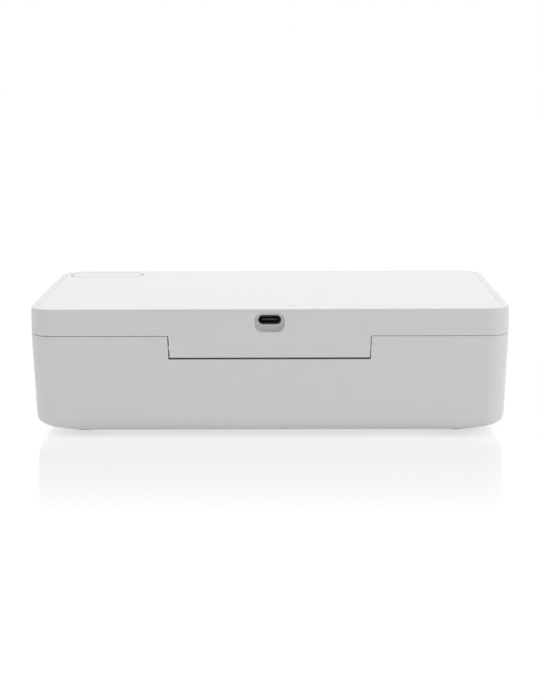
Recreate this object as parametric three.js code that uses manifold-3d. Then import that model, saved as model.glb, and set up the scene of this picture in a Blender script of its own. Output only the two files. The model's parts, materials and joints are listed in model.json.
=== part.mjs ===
// A desktop ultraviolet sanitizer box: a drafted tub with a reflective tray, and a hinged lid that
// carries the lamps, the circuit board, the charging socket and a start button.
// Millimetres, +Z up. The origin lies on the surface under the middle of the box. The hinge side
// faces -Y, and the side that opens faces +Y.
import * as THREE from 'three';
import { mergeVertices } from 'three/addons/utils/BufferGeometryUtils.js';
import Module from 'manifold-3d';

const wasm = await Module();
wasm.setup();

// Whole body
const bodyWidth = 205;
const bodyDepth = 116;
const cornerRadius = 10.4;
const footHeight = 3;
const baseHeight = 42;
const lidHeight = 11.7;
const baseDraft = THREE.MathUtils.degToRad(1.8);
const lidDraft = THREE.MathUtils.degToRad(0.8);
const wall = 2.2;
const bottomEdgeHeight = 6;
const bottomEdgeInset = 4.9;
const bottomCornerGrowth = 13.3;
const topEdgeRadius = 0.6;

// Clearances
const fitGap = 0.3;
const seatGap = 0.15;
const seamGap = 0.4;
const cutOverrun = 2;

// Hinge: the lid's rear wall runs down as a tongue that hides the barrel
const tongueWidth = 86;
const tongueTaper = 0.55;
const tongueDepth = 9.5;
const tongueSideGap = 0.45;
const pivotInset = 3.2;
const pivotDrop = 5.5;
const barrelRadius = 2.9;
const knuckleLength = 14;
const pinRadius = 1.2;
const pocketRadius = 5.4;
const pocketWall = 2;
const earThickness = 5;
const tongueRibCount = 6;
const tongueRibThickness = 1.4;
const pinStopThickness = 1.6;

// Base floor, feet and tray screws
const floorThickness = 2.2;
const footDiameter = 14;
const footRecess = 0.8;
const footEdge = 0.7;
const footInsetX = 21;
const footInsetY = 24;
const traySeatHeight = 3;
const traySeatDiameter = 9;
const screwHeadDiameter = 5;
const screwHeadHeight = 1.6;
const screwShankDiameter = 2.6;
const trayScrewTipGap = 0.35;
const driverSlotWidth = 0.8;

// Tray
const flangeDrop = 0.4;
const flangeThickness = 1.6;
const flangeFront = 9;
const trayWall = 1.6;
const trayFloorRise = 8.9;
const trayCornerRadius = 9;
const trayFloorRadius = 5;
const trayDraft = THREE.MathUtils.degToRad(3);
const lipHeight = 1.9;
const lipThickness = 1.2;
const trayRibCount = 9;
const trayRibWidth = 2.4;
const trayRibHeight = 1.5;
const trayRibMargin = 9;
const trayPillarDiameter = 8;

// Lid
const rimWidth = 3;
const skirtLand = 0.35;
const skirtBevelRise = 0.85;
const plateThickness = 1.5;
const ledgeWidth = 2.6;
const ledgeThickness = 1.3;
const bossWeb = 1.6;

// Liner under the lid
const linerRise = 2;
const linerThickness = 1.4;
const linerLipThickness = 1.2;
const linerScrewPad = 1;
const linerScrewLength = 5;
const linerScrewHeadHeight = 1.2;
const linerScrewHeadDiameter = 4.4;
const linerScrewShankDiameter = 2.2;
const linerScrewBoardGap = 1.35;
const linerPadWall = 0.5;
const linerScrewRearInset = 14;
const linerScrewMiddleInset = 62;
const linerScrewFrontInset = 7.5;
const linerScrewButtonGap = 14.6;

// Charging socket and its recess in the lid's rear wall
const socketMouthWidth = 12.9;
const socketMouthHeight = 8.3;
const socketMouthRadius = 3.3;
const socketMouthDrop = 0.55;
const socketFloorWidth = 12.3;
const socketFloorHeight = 7.2;
const socketFloorRadius = 2.9;
const socketRecessDepth = 4.6;
const socketCupWall = 1.2;
const socketWindowGap = 0.43;
const plugShellWidth = 8.94;
const plugShellHeight = 3.16;
const plugShellLength = 7.3;
const plugShellWall = 0.3;
const plugTongueWidth = 6.7;
const plugTongueHeight = 0.7;
const plugTongueLength = 4.5;

// Circuit board, lamp board and what sits on them
const boardThickness = 1.1;
const boardRearBarDepth = 24;
const boardRightReach = 24;
const boardSideBarWidth = 19;
const boardFrontInset = 8;
const boardCorner = 2;
const pegDiameter = 1.8;
const pegStandout = 0.9;
const chipSize = 7;
const chipHeight = 1;
const chipReach = 42;
const sensorWidth = 4;
const sensorHeight = 1.5;
const sensorLength = 3;
const sensorFrontInset = 28;
const ledCount = 4;
const lampRowInset = 40.6;
const ledSize = 3.6;
const ledHeight = 1.2;
const lampBoardWidth = 14;
const lampBoardEnd = 8;
const lampBoardRise = 1.9;
const lensDiameter = 8;
const lensThickness = 1;
const lensRecess = 0.2;
const lensSeat = 0.8;
const collarWall = 1.2;
const flexWidth = 8;
const flexThickness = 0.3;
const flexLap = 3;

// Start button, its switch and the indicator
const buttonLength = 34.5;
const buttonDepth = 15.6;
const buttonMargin = 1.7;
const buttonGap = 0.3;
const buttonFlange = 0.8;
const buttonFlangeThickness = 0.8;
const buttonCapThickness = 1.4;
const buttonTravel = 0.4;
const buttonStemDiameter = 5;
const buttonStemLength = 1.3;
const switchSize = 6;
const plungerDiameter = 3.4;
const plungerEngagement = 0.7;
const plungerStandout = 1;
const indicatorDiameter = 4.2;
const indicatorOffset = 9.2;
const indicatorCupGap = 0.4;
const indicatorFlange = 0.5;
const indicatorFlangeThickness = 0.8;
const indicatorLedSize = 2;
const indicatorLedHeight = 0.8;

// Magnets
const magnetDiameter = 5;
const magnetThickness = 2.5;
const magnetCupWall = 1.1;
const magnetScrewSpacing = 18;

// Smoothness of round forms
const cornerSteps = 8;
const smallCornerSteps = 3;
const edgeSteps = 4;
const roundSteps = 16;

// Places that follow from the sizes above
const seamZ = footHeight + baseHeight;
const topZ = seamZ + lidHeight;
const rearY = -bodyDepth / 2;
const frontY = bodyDepth / 2;
const pivotY = rearY + pivotInset;
const pivotZ = seamZ - pivotDrop;
const flangeTopZ = seamZ - flangeDrop;
const flangeBottomZ = flangeTopZ - flangeThickness;
const tongueFootHalf = tongueWidth / 2 - tongueTaper;
const magnetCupDiameter = magnetDiameter + 2 * (fitGap + magnetCupWall);
const flangeSide = magnetCupDiameter + 2 * fitGap;
const pocketBackY = pivotY + pocketRadius + pocketWall;
const pocketHalfWidth = tongueWidth / 2 + tongueSideGap;
const earOuterX = pocketHalfWidth + earThickness;
const mouthRearY = pocketBackY + fitGap + trayWall;
const mouthFrontY = frontY - wall - fitGap - flangeFront;
const mouthWidth = bodyWidth - 2 * (wall + fitGap + flangeSide);
const mouthDepth = mouthFrontY - mouthRearY;
const mouthY = (mouthFrontY + mouthRearY) / 2;
const baseFloorZ = footHeight + floorThickness;
const trayFloorZ = baseFloorZ + trayFloorRise;
const trayScrewHeadZ = footHeight + footRecess + seatGap;
const trayScrewTipZ = trayFloorZ - trayWall - trayScrewTipGap;
const trayScrewLength = trayScrewTipZ - trayScrewHeadZ - screwHeadHeight;
const linerBottomZ = seamZ + linerRise;
const linerTopZ = linerBottomZ + linerThickness;
const plateBottomZ = topZ - plateThickness;
const ledgeBottomZ = plateBottomZ - ledgeThickness;
const topLean = lidHeight * Math.tan(lidDraft);
const lidInnerHalfWidth = bodyWidth / 2 - topLean - wall;
const boardBottomZ = linerTopZ + seatGap;
const boardTopZ = boardBottomZ + boardThickness;
const socketCupBackY = rearY + socketRecessDepth + socketCupWall;
const boardRearY = socketCupBackY + fitGap;
const socketZ = boardTopZ + seatGap + plugShellHeight / 2;
const socketMouthZ = socketZ - socketMouthDrop;
const socketWindowWidth = plugShellWidth + 2 * socketWindowGap;
const socketWindowHeight = plugShellHeight + 2 * socketWindowGap;
const lampBoardBottomZ = linerTopZ + lampBoardRise;
const lampBoardTopZ = lampBoardBottomZ + boardThickness;
const buttonX = -(bodyWidth / 2 - topLean - rimWidth - fitGap - buttonMargin - buttonLength / 2);
const buttonY = frontY - topLean - rimWidth - fitGap - buttonMargin - buttonDepth / 2;
const boardLeftX = buttonX - boardSideBarWidth / 2;
const bossDiameter = linerScrewHeadDiameter + 2 * (fitGap + linerPadWall);
const linerScrewSideX = -boardLeftX + linerScrewBoardGap + bossDiameter / 2;
const rearLedgeY = rearY + topLean + rimWidth + ledgeWidth;
const indicatorY = Math.max(socketCupBackY, rearLedgeY) + indicatorCupGap
  + indicatorFlange + indicatorDiameter / 2;
const linerScrewFrontX = -(buttonX + buttonLength / 2) - linerScrewButtonGap;
const magnetX = linerScrewFrontX - magnetScrewSpacing;
const magnetY = frontY - wall - fitGap - flangeFront / 2;
const sensorX = boardLeftX + boardCorner + sensorLength / 2;
const lampPitch = (mouthWidth - 2 * lampRowInset) / (ledCount - 1);
const lampBoardHalf = lampPitch * (ledCount - 1) / 2 + lampBoardEnd;
const sensorMagnetX = -(bodyWidth / 2 - wall - fitGap - flangeSide / 2);
const sensorMagnetY = frontY - sensorFrontInset;
const buttonStemZ = topZ - buttonCapThickness - buttonStemLength;
const switchTopZ = buttonStemZ - seatGap - plungerStandout;
const sides = [['left', -1], ['right', 1]];
const rows = [['rear', -1], ['front', 1]];

// Materials
const finishes = {
  shell: { color: 0xf1f1f2, roughness: 0.42, metalness: 0 },
  plate: { color: 0xf3f3f4, roughness: 0.36, metalness: 0 },
  liner: { color: 0xe8e9ec, roughness: 0.5, metalness: 0 },
  reflector: { color: 0xc9ccd1, roughness: 0.22, metalness: 0.9 },
  rubber: { color: 0x35363a, roughness: 0.85, metalness: 0 },
  steel: { color: 0xb4b6ba, roughness: 0.3, metalness: 1 },
  magnet: { color: 0x9a9ca2, roughness: 0.28, metalness: 1 },
  board: { color: 0x1f5a3a, roughness: 0.55, metalness: 0 },
  lampBoard: { color: 0xe4e6e6, roughness: 0.45, metalness: 0.1 },
  chip: { color: 0x1b1b1d, roughness: 0.6, metalness: 0 },
  ceramic: { color: 0xe9e2c8, roughness: 0.5, metalness: 0 },
  quartz: { color: 0xdfe6f2, roughness: 0.06, metalness: 0 },
  flex: { color: 0xb9702c, roughness: 0.5, metalness: 0 },
};

function finish(kind) {
  return new THREE.MeshStandardMaterial(finishes[kind]);
}

// Turns a closed three.js geometry into a solid that can be joined and cut
function solidOf(geometry) {
  const bare = geometry.clone();
  bare.deleteAttribute('normal');
  bare.deleteAttribute('uv');
  const merged = mergeVertices(bare);
  return new wasm.Manifold(new wasm.Mesh({
    numProp: 3,
    vertProperties: merged.attributes.position.array,
    triVerts: merged.index.array,
  }));
}

function meshOf(name, solid, kind) {
  const cut = solid.getMesh();
  const geometry = new THREE.BufferGeometry();
  geometry.setAttribute('position', new THREE.BufferAttribute(cut.vertProperties, cut.numProp));
  geometry.setIndex(new THREE.BufferAttribute(cut.triVerts, 1));
  geometry.computeVertexNormals();
  const mesh = new THREE.Mesh(geometry, finish(kind));
  mesh.name = name;
  return mesh;
}

// One rounded rectangle as points, walked counter-clockwise from the +X side. Where a side has no
// straight stretch left, the point that two corners share is given once.
function ringPoints({ width, depth, radius, x = 0, y = 0 }, steps) {
  const round = Math.min(radius, width / 2, depth / 2);
  const reachX = width / 2 - round;
  const reachY = depth / 2 - round;
  const centres = [[reachX, reachY], [-reachX, reachY], [-reachX, -reachY], [reachX, -reachY]];
  const points = [];
  centres.forEach(([centreX, centreY], quarter) => {
    const straight = quarter % 2 === 0 ? reachY : reachX;
    for (let step = straight > 0 ? 0 : 1; step <= steps; step += 1) {
      const angle = (quarter + step / steps) * Math.PI / 2;
      points.push([x + centreX + round * Math.cos(angle), y + centreY + round * Math.sin(angle)]);
    }
  });
  return points;
}

// A solid lofted through rounded rectangles stacked upwards, each { z, width, depth, radius, x, y }
function loft(sections, steps = cornerSteps) {
  const positions = [];
  const index = [];
  const rings = sections.map((section) => ringPoints(section, steps));
  rings.forEach((ring, level) => ring.forEach(([x, y]) => positions.push(x, y, sections[level].z)));
  const count = rings[0].length;
  for (let level = 0; level + 1 < rings.length; level += 1) {
    for (let i = 0; i < count; i += 1) {
      const a = level * count + i;
      const b = level * count + (i + 1) % count;
      index.push(a, b, b + count, a, b + count, a + count);
    }
  }
  const top = (rings.length - 1) * count;
  for (let i = 1; i + 1 < count; i += 1) {
    index.push(0, i + 1, i, top, top + i, top + i + 1);
  }
  const geometry = new THREE.BufferGeometry();
  geometry.setAttribute('position', new THREE.Float32BufferAttribute(positions, 3));
  geometry.setIndex(index);
  return solidOf(geometry);
}

// The same rounded rectangle from one height to another
function plate(section, bottom, top, steps = smallCornerSteps) {
  return loft([{ ...section, z: bottom }, { ...section, z: top }], steps);
}

function disc(diameter, x, y, bottom, top) {
  const geometry = new THREE.CylinderGeometry(diameter / 2, diameter / 2, top - bottom, roundSteps);
  geometry.rotateX(Math.PI / 2);
  geometry.translate(x, y, (top + bottom) / 2);
  return solidOf(geometry);
}

function block(minX, maxX, minY, maxY, minZ, maxZ) {
  const geometry = new THREE.BoxGeometry(maxX - minX, maxY - minY, maxZ - minZ);
  geometry.translate((minX + maxX) / 2, (minY + maxY) / 2, (minZ + maxZ) / 2);
  return solidOf(geometry);
}

// A rod along X between two places, on the hinge axis
function hingeRod(radius, fromX, toX) {
  const geometry = new THREE.CylinderGeometry(radius, radius, toX - fromX, roundSteps);
  geometry.rotateZ(Math.PI / 2);
  geometry.translate((fromX + toX) / 2, pivotY, pivotZ);
  return solidOf(geometry);
}

// A solid from an outline in the X-Z plane, between two places along Y
function alongY(shape, fromY, toY) {
  const geometry = new THREE.ExtrudeGeometry(shape, {
    depth: toY - fromY, bevelEnabled: false, curveSegments: smallCornerSteps,
  });
  geometry.rotateX(Math.PI / 2);
  geometry.translate(0, toY, 0);
  return solidOf(geometry);
}

// A solid from an outline in the Y-Z plane, between two places along X
function alongX(shape, fromX, toX) {
  const geometry = new THREE.ExtrudeGeometry(shape, {
    depth: toX - fromX, bevelEnabled: false, curveSegments: cornerSteps,
  });
  geometry.applyMatrix4(new THREE.Matrix4().makeBasis(
    new THREE.Vector3(0, 1, 0), new THREE.Vector3(0, 0, 1), new THREE.Vector3(1, 0, 0),
  ));
  geometry.translate(fromX, 0, 0);
  return solidOf(geometry);
}

function joined(solids) {
  return solids.reduce((whole, solid) => whole.add(solid));
}

// The outer form of the box at one height, drawn in by an inset. It is widest at the seam.
function bodySection(z, inset = 0) {
  const lean = z < seamZ ? (seamZ - z) * Math.tan(baseDraft) : (z - seamZ) * Math.tan(lidDraft);
  return {
    z,
    width: bodyWidth - 2 * (lean + inset),
    depth: bodyDepth - 2 * (lean + inset),
    radius: cornerRadius - inset,
  };
}

// Base

// The tub's sections from its bottom up to the seam, drawn in by an inset. Towards the bottom its
// edge curves inwards and its corners grow rounder.
function tubSections(bottom, inset) {
  const sections = [];
  for (let step = 0; step <= edgeSteps; step += 1) {
    const angle = (step / edgeSteps) * Math.PI / 2;
    const drawnIn = 1 - Math.sin(angle);
    const z = bottom + bottomEdgeHeight * (1 - Math.cos(angle));
    const section = bodySection(z, inset + bottomEdgeInset * drawnIn);
    sections.push({ ...section, radius: cornerRadius - inset + bottomCornerGrowth * drawnIn });
  }
  sections.push(bodySection(seamZ, inset));
  return sections;
}

function baseOuter() {
  return loft(tubSections(footHeight, 0));
}

// The trapezoid of the hinge tongue as seen from behind, from its foot up to a height, grown sideways
// and downwards by clearances
function tongueShape(topHeight, sideGrowth, footGrowth) {
  const topHalf = tongueWidth / 2 + sideGrowth;
  const footHalf = topHalf - tongueTaper;
  const footZ = seamZ - tongueDepth - footGrowth;
  const shape = new THREE.Shape();
  shape.moveTo(-footHalf, footZ);
  shape.lineTo(footHalf, footZ);
  shape.lineTo(topHalf, seamZ);
  shape.lineTo(topHalf, topHeight);
  shape.lineTo(-topHalf, topHeight);
  shape.lineTo(-topHalf, seamZ);
  shape.closePath();
  return shape;
}

function footPlaces() {
  return rows.flatMap(([row, rowSign]) => sides.map(([side, sideSign]) => ({
    name: `${row}_${side}`,
    x: sideSign * (bodyWidth / 2 - footInsetX),
    y: rowSign * (bodyDepth / 2 - footInsetY),
  })));
}

function makeBaseShell() {
  const cavity = loft([...tubSections(baseFloorZ, wall), bodySection(seamZ + cutOverrun, wall)]);
  let shell = baseOuter().subtract(cavity);

  const hingeBlock = block(
    -earOuterX, earOuterX, rearY + wall / 2, pocketBackY,
    pivotZ - pocketRadius - pocketWall, flangeBottomZ - fitGap,
  );
  shell = shell.add(hingeBlock.intersect(baseOuter()));
  const pocket = hingeRod(pocketRadius, -pocketHalfWidth, pocketHalfWidth);
  const pocketMouth = block(
    -pocketHalfWidth, pocketHalfWidth, rearY + wall, pivotY + pocketRadius, pivotZ, seamZ,
  );
  const notch = alongY(tongueShape(seamZ + cutOverrun, tongueSideGap, 0), rearY - cutOverrun, pivotY);
  shell = shell.subtract(notch).subtract(pocketMouth);
  const notchFoot = pocket.intersect(
    alongY(tongueShape(seamZ, tongueSideGap, pocketRadius), rearY - cutOverrun, pivotY),
  );
  shell = shell.subtract(notchFoot).subtract(pocket.subtract(
    block(
      -pocketHalfWidth, pocketHalfWidth, rearY - cutOverrun, rearY + wall, pivotZ - pocketRadius, seamZ,
    ),
  ));
  shell = shell.subtract(hingeRod(pinRadius + fitGap, -earOuterX - cutOverrun, earOuterX + cutOverrun));

  for (const { x, y } of footPlaces()) {
    const seatTop = baseFloorZ + traySeatHeight;
    const headTop = trayScrewHeadZ + screwHeadHeight + seatGap;
    shell = shell.add(disc(traySeatDiameter, x, y, baseFloorZ - floorThickness / 2, seatTop));
    shell = shell.subtract(joined([
      disc(footDiameter + 2 * fitGap, x, y, footHeight - cutOverrun, footHeight + footRecess),
      disc(screwHeadDiameter + 2 * fitGap, x, y, footHeight, headTop),
      disc(screwShankDiameter + 2 * fitGap, x, y, footHeight, seatTop + cutOverrun),
    ]));
  }
  return meshOf('base_shell', shell, 'shell');
}

// A foot is turned about its own axis, with a softened lower edge
function makeFeet() {
  const radius = footDiameter / 2;
  const height = footHeight + footRecess - seatGap;
  const profile = [
    new THREE.Vector2(0, 0),
    new THREE.Vector2(radius - footEdge, 0),
    new THREE.Vector2(radius, footEdge),
    new THREE.Vector2(radius, height),
    new THREE.Vector2(0, height),
  ];
  return footPlaces().map(({ name, x, y }) => {
    const geometry = new THREE.LatheGeometry(profile, roundSteps);
    geometry.rotateX(Math.PI / 2);
    geometry.translate(x, y, 0);
    return meshOf(`foot_${name}`, solidOf(geometry), 'rubber');
  });
}

// A pan-head screw driven upwards, with a cross of two slots in its head
function screw(x, y, headBottom, headDiameter, headHeight, shankDiameter, shankLength) {
  const head = disc(headDiameter, x, y, headBottom, headBottom + headHeight);
  const shank = disc(shankDiameter, x, y, headBottom + headHeight / 2, headBottom + headHeight + shankLength);
  const reach = headDiameter / 3;
  const half = driverSlotWidth / 2;
  const slotTop = headBottom + headHeight / 2;
  return head.add(shank)
    .subtract(block(x - reach, x + reach, y - half, y + half, headBottom - cutOverrun, slotTop))
    .subtract(block(x - half, x + half, y - reach, y + reach, headBottom - cutOverrun, slotTop));
}

function makeTrayScrews() {
  return footPlaces().map(({ name, x, y }) => meshOf(`tray_screw_${name}`, screw(
    x, y, trayScrewHeadZ, screwHeadDiameter, screwHeadHeight, screwShankDiameter, trayScrewLength,
  ), 'steel'));
}

// The tray's hollow at one height below its mouth, grown outwards for the outside of its wall
function traySection(z, growth = 0) {
  const lean = Math.max(flangeTopZ - z, 0) * Math.tan(trayDraft);
  return {
    z,
    y: mouthY,
    width: mouthWidth - 2 * (lean - growth),
    depth: mouthDepth - 2 * (lean - growth),
    radius: trayCornerRadius + growth,
  };
}

// The bowl, with the curve between its wall and its floor. The outside follows the inside.
function trayBowl(growth) {
  const sections = [];
  const round = trayFloorRadius + growth;
  for (let step = 0; step <= edgeSteps; step += 1) {
    const angle = (step / edgeSteps) * Math.PI / 2;
    const z = trayFloorZ - growth + round * (1 - Math.cos(angle));
    sections.push(traySection(z, growth - round * (1 - Math.sin(angle))));
  }
  sections.push(traySection(flangeTopZ, growth));
  return loft(sections);
}

function trayRib(x) {
  const half = mouthDepth / 2 - trayRibMargin;
  const lowZ = trayFloorZ - trayWall / 2;
  const shape = new THREE.Shape();
  shape.moveTo(-trayRibWidth / 2, lowZ);
  shape.lineTo(trayRibWidth / 2, lowZ);
  shape.lineTo(trayRibWidth / 2, trayFloorZ + trayRibHeight - trayRibWidth / 2);
  shape.absarc(0, trayFloorZ + trayRibHeight - trayRibWidth / 2, trayRibWidth / 2, 0, Math.PI, false);
  shape.closePath();
  return alongY(shape, mouthY - half, mouthY + half).translate([x, 0, 0]);
}

function makeInnerTray() {
  const flange = loft([bodySection(flangeBottomZ, wall + fitGap), bodySection(flangeTopZ, wall + fitGap)]);
  const lip = plate(
    traySection(flangeTopZ, lipThickness), flangeBottomZ, flangeTopZ + lipHeight, cornerSteps,
  );
  let tray = joined([flange, lip, trayBowl(trayWall)]);
  for (const { x, y } of footPlaces()) {
    const pillarBottom = baseFloorZ + traySeatHeight + seatGap;
    tray = tray.add(disc(trayPillarDiameter, x, y, pillarBottom, trayFloorZ - trayWall / 2));
  }
  for (const [, sign] of sides) {
    const stopX = sign * (earOuterX + fitGap + pinStopThickness / 2);
    tray = tray.add(block(
      stopX - pinStopThickness / 2, stopX + pinStopThickness / 2,
      rearY + wall + 2 * fitGap, pivotY + barrelRadius,
      pivotZ - pinRadius, flangeBottomZ + flangeThickness / 2,
    ));
  }
  for (const [, x, y] of trayMagnetPlaces()) {
    tray = tray.add(disc(
      magnetCupDiameter, x, y, flangeBottomZ - magnetThickness, flangeBottomZ + flangeThickness / 2,
    ));
  }

  tray = tray.subtract(trayBowl(0)).subtract(
    plate(traySection(flangeTopZ), flangeTopZ - seatGap, flangeTopZ + lipHeight + cutOverrun, cornerSteps),
  );
  for (const { x, y } of footPlaces()) {
    tray = tray.subtract(disc(
      screwShankDiameter + 2 * fitGap, x, y, footHeight, trayScrewTipZ + fitGap,
    ));
  }
  for (const [, x, y] of trayMagnetPlaces()) {
    tray = tray.subtract(disc(
      magnetDiameter + 2 * fitGap, x, y, flangeBottomZ - magnetThickness - cutOverrun, flangeBottomZ,
    ));
  }
  tray = tray.subtract(block(
    -pocketHalfWidth, pocketHalfWidth, rearY, pivotY + pocketRadius,
    flangeBottomZ - cutOverrun, flangeTopZ + cutOverrun,
  ));
  const reach = (trayRibCount - 1) / 2;
  const ribPitch = (mouthWidth - 2 * trayRibMargin) / (trayRibCount - 1);
  for (let i = -reach; i <= reach; i += 1) {
    tray = tray.add(trayRib(i * ribPitch));
  }
  return meshOf('inner_tray', tray, 'reflector');
}

function magnet(name, x, y, bottom) {
  return meshOf(name, disc(magnetDiameter, x, y, bottom, bottom + magnetThickness), 'magnet');
}

// Two magnets near the front edge hold the lid shut, and one on the left works the lid's sensor
function trayMagnetPlaces() {
  return [
    ...sides.map(([side, sign]) => [`tray_magnet_${side}`, sign * magnetX, magnetY]),
    ['sensor_magnet', sensorMagnetX, sensorMagnetY],
  ];
}

function makeTrayMagnets() {
  return trayMagnetPlaces().map(([name, x, y]) => magnet(
    name, x, y, flangeBottomZ - seatGap - magnetThickness,
  ));
}

function makeHingePins() {
  return sides.map(([side, sign]) => {
    const inner = tongueFootHalf - knuckleLength;
    const ends = [sign * inner, sign * earOuterX].sort((a, b) => a - b);
    return meshOf(`hinge_pin_${side}`, hingeRod(pinRadius, ...ends), 'steel');
  });
}

// Lid

function lidOuter() {
  const sections = [bodySection(seamZ - tongueDepth), bodySection(seamZ)];
  for (let step = 0; step <= edgeSteps; step += 1) {
    const angle = (step / edgeSteps) * Math.PI / 2;
    sections.push(bodySection(
      topZ - topEdgeRadius * (1 - Math.sin(angle)), topEdgeRadius * (1 - Math.cos(angle)),
    ));
  }
  return loft(sections);
}

// The lid's hollow from below, with the slanted underside of the skirt that clears the base's rim
// when the lid swings about its low pivot
function lidHollow() {
  const slope = (wall - skirtLand) / skirtBevelRise;
  const skirtBottom = seamZ + seamGap;
  return loft([
    bodySection(skirtBottom - cutOverrun, skirtLand - cutOverrun * slope),
    bodySection(skirtBottom + skirtBevelRise, wall),
    bodySection(ledgeBottomZ, wall),
  ]);
}

function linerScrewPlaces() {
  return [
    ['rear', linerScrewSideX, rearY + linerScrewRearInset],
    ['middle', linerScrewSideX, rearY + linerScrewMiddleInset],
    ['front', linerScrewFrontX, frontY - linerScrewFrontInset],
  ].flatMap(([row, x, y]) => sides.map(([side, sign]) => ({
    row, name: `${row}_${side}`, x: sign * x, y,
  })));
}

// The bosses that take the liner's screws, each tied to the nearest wall by a web
function linerBosses() {
  const bottom = linerTopZ + linerScrewPad + seatGap;
  const top = plateBottomZ - seatGap;
  const sideWallX = lidInnerHalfWidth + wall / 2;
  const frontWallY = frontY - topLean - wall / 2;
  return joined(linerScrewPlaces().map(({ row, x, y }) => {
    const web = row === 'front'
      ? block(x - bossWeb / 2, x + bossWeb / 2, y, frontWallY, bottom, top)
      : block(
        Math.min(x, Math.sign(x) * sideWallX), Math.max(x, Math.sign(x) * sideWallX),
        y - bossWeb / 2, y + bossWeb / 2, bottom, top,
      );
    return disc(bossDiameter, x, y, bottom, top).add(web);
  }));
}

function linerBossBores() {
  return joined(linerScrewPlaces().map(({ x, y }) => disc(
    linerScrewShankDiameter + 2 * fitGap, x, y, linerTopZ,
    linerBottomZ + linerScrewHeadHeight + linerScrewLength + fitGap,
  )));
}

function socketSection(width, height, radius) {
  return { width, depth: height, radius };
}

// A loft along Y made from sections whose depth stands upright, from the rear face inwards
function socketLoft(sections, middleZ = socketZ) {
  const turned = loft(sections.map(({ inset, ...section }) => ({ ...section, z: -inset })).reverse());
  return turned.rotate([90, 0, 0]).translate([0, rearY, middleZ]);
}

function socketRecess() {
  const taper = (socketFloorWidth - socketMouthWidth) / socketRecessDepth;
  const rise = (socketFloorHeight - socketMouthHeight) / socketRecessDepth;
  return socketLoft([
    {
      inset: -cutOverrun,
      ...socketSection(
        socketMouthWidth - taper * cutOverrun, socketMouthHeight - rise * cutOverrun, socketMouthRadius,
      ),
    },
    { inset: socketRecessDepth, ...socketSection(socketFloorWidth, socketFloorHeight, socketFloorRadius) },
  ], socketMouthZ);
}

function socketWindow() {
  const section = socketSection(socketWindowWidth, socketWindowHeight, socketWindowHeight);
  return socketLoft([
    { inset: wall, ...section },
    { inset: socketRecessDepth + socketCupWall + cutOverrun, ...section },
  ]);
}

// The walls round the recess, from the lid's rear wall inwards to the back of the recess
function socketCup() {
  const section = socketSection(
    socketMouthWidth + 2 * socketCupWall, socketFloorHeight + 2 * socketCupWall,
    socketMouthRadius + socketCupWall,
  );
  const cup = socketLoft([
    { inset: wall / 2, ...section },
    { inset: socketRecessDepth + socketCupWall, ...section },
  ], socketMouthZ);
  return cup.subtract(block(
    -socketMouthWidth, socketMouthWidth, rearY, frontY, plateBottomZ - seatGap, topZ + cutOverrun,
  ));
}

// The barrel's outline where it grows out of the tongue
function knuckleProfile() {
  const shape = new THREE.Shape();
  shape.moveTo(rearY + wall / 2, pivotZ + barrelRadius);
  shape.lineTo(rearY + wall / 2, pivotZ - barrelRadius);
  shape.lineTo(pivotY, pivotZ - barrelRadius);
  shape.absarc(pivotY, pivotZ, barrelRadius, -Math.PI / 2, Math.PI / 2, false);
  shape.closePath();
  return shape;
}

// A long knuckle at each end of the tongue carries a pin, with thin ribs between them
function tongueKnuckles() {
  const innerEnd = tongueFootHalf - knuckleLength;
  const knuckles = sides.map(([, sign]) => alongX(
    knuckleProfile(), Math.min(sign * innerEnd, sign * tongueFootHalf),
    Math.max(sign * innerEnd, sign * tongueFootHalf),
  ));
  for (let i = 1; i <= tongueRibCount; i += 1) {
    const x = innerEnd * ((2 * i) / (tongueRibCount + 1) - 1);
    knuckles.push(alongX(knuckleProfile(), x - tongueRibThickness / 2, x + tongueRibThickness / 2));
  }
  return joined(knuckles);
}

function makeLidShell() {
  const tongue = alongY(
    tongueShape(seamZ + seamGap + skirtBevelRise, 0, cutOverrun), rearY - cutOverrun, rearY + wall,
  );
  const reach = bodyWidth + cutOverrun;
  const below = block(
    -reach, reach, -reach, reach, seamZ - tongueDepth - cutOverrun, seamZ + seamGap,
  ).subtract(tongue);
  let lid = lidOuter().subtract(below).subtract(lidHollow().subtract(tongue));

  const recess = bodySection(topZ, rimWidth);
  lid = lid.subtract(plate(recess, plateBottomZ, topZ + cutOverrun, cornerSteps));
  lid = lid.subtract(plate(
    bodySection(topZ, rimWidth + ledgeWidth), linerTopZ, topZ + cutOverrun, cornerSteps,
  ));
  lid = lid.subtract(plate(
    {
      x: buttonX, y: buttonY, radius: buttonDepth,
      width: buttonLength + 2 * (buttonFlange + 2 * buttonGap),
      depth: buttonDepth + 2 * (buttonFlange + 2 * buttonGap),
    },
    ledgeBottomZ - cutOverrun, plateBottomZ + cutOverrun, cornerSteps,
  ));

  lid = lid.add(linerBosses()).subtract(linerBossBores());
  lid = lid.add(socketCup()).subtract(socketRecess()).subtract(socketWindow());
  lid = lid.add(tongueKnuckles());
  for (const [, sign] of sides) {
    const ends = [sign * (tongueFootHalf - knuckleLength - fitGap), sign * (tongueFootHalf + cutOverrun)];
    lid = lid.subtract(hingeRod(pinRadius + fitGap, ...ends.sort((a, b) => a - b)));
  }
  return meshOf('lid_shell', lid, 'shell');
}

function makeTopPlate() {
  const outline = bodySection(topZ, rimWidth + fitGap);
  const cover = plate(outline, plateBottomZ + seatGap, topZ, cornerSteps)
    .subtract(plate(
      {
        x: buttonX, y: buttonY, radius: buttonDepth,
        width: buttonLength + 2 * buttonGap, depth: buttonDepth + 2 * buttonGap,
      },
      plateBottomZ - cutOverrun, topZ + cutOverrun, cornerSteps,
    ))
    .subtract(disc(
      indicatorDiameter + 2 * fitGap, indicatorOffset, indicatorY,
      plateBottomZ - cutOverrun, topZ + cutOverrun,
    ));
  return meshOf('top_plate', cover, 'plate');
}

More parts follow.
